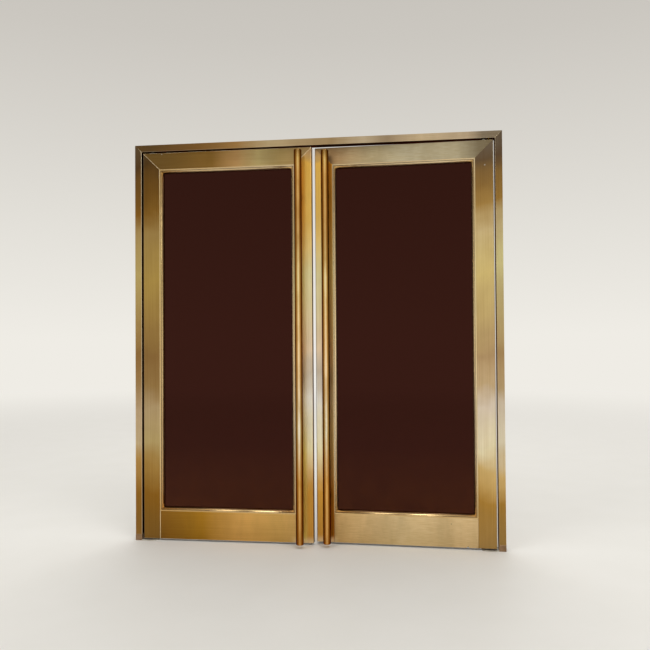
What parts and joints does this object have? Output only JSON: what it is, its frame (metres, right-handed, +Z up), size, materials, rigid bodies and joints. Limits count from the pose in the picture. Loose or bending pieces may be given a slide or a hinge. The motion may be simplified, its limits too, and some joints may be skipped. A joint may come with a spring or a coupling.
{
  "type": "glazed double door",
  "caption": "Glazed double entrance door in a plain brass frame, with stepped glazing beads, full-height round pull bars and centre pivots that let each leaf swing both ways.",
  "frame": {"origin": "on the left jamb foot's wall face, at floor level, in the middle of the leaves' thickness", "axes": "+X along the door from the left jamb to the right one, +Y inward (the street side is -Y), +Z up"},
  "size_m": [2.437, 0.2971, 2.668],
  "materials": {
    "satin_brass": "aged satin",
    "polished_brass": "polished",
    "tinted_glass": "dark bronze tint",
    "foot_metal": "worn",
    "pivot_steel": "worn"
  },
  "bodies": {
    "frame": {"left_jamb": "satin_brass", "right_jamb": "satin_brass", "head": "satin_brass", "left_jamb_foot": "foot_metal", "right_jamb_foot": "foot_metal", "left_floor_pivot": "pivot_steel", "right_floor_pivot": "pivot_steel", "left_top_pivot": "pivot_steel", "right_top_pivot": "pivot_steel"},
    "left_leaf": {"left_hinge_stile": "satin_brass", "left_meeting_stile": "satin_brass", "left_top_rail": "satin_brass", "left_bottom_rail": "satin_brass", "left_glass": "tinted_glass", "left_outer_beads": "satin_brass", "left_inner_beads": "satin_brass", "left_outer_bar": "polished_brass", "left_outer_bar_posts": "polished_brass", "left_inner_bar": "polished_brass", "left_inner_bar_posts": "polished_brass"},
    "right_leaf": {"right_hinge_stile": "satin_brass", "right_meeting_stile": "satin_brass", "right_top_rail": "satin_brass", "right_bottom_rail": "satin_brass", "right_glass": "tinted_glass", "right_outer_beads": "satin_brass", "right_inner_beads": "satin_brass", "right_outer_bar": "polished_brass", "right_outer_bar_posts": "polished_brass", "right_inner_bar": "polished_brass", "right_inner_bar_posts": "polished_brass"}
  },
  "joints": [
    {"name": "left_leaf_swing", "type": "hinge", "parent": "frame", "child": "left_leaf", "pos_m": [0.114, 0, 0], "axis": [0, 0, -1], "range_deg": [-90, 85]},
    {"name": "right_leaf_swing", "type": "hinge", "parent": "frame", "child": "right_leaf", "pos_m": [2.323, 0, 0], "axis": [0, 0, 1], "range_deg": [-87.9, 87.1]}
  ]
}
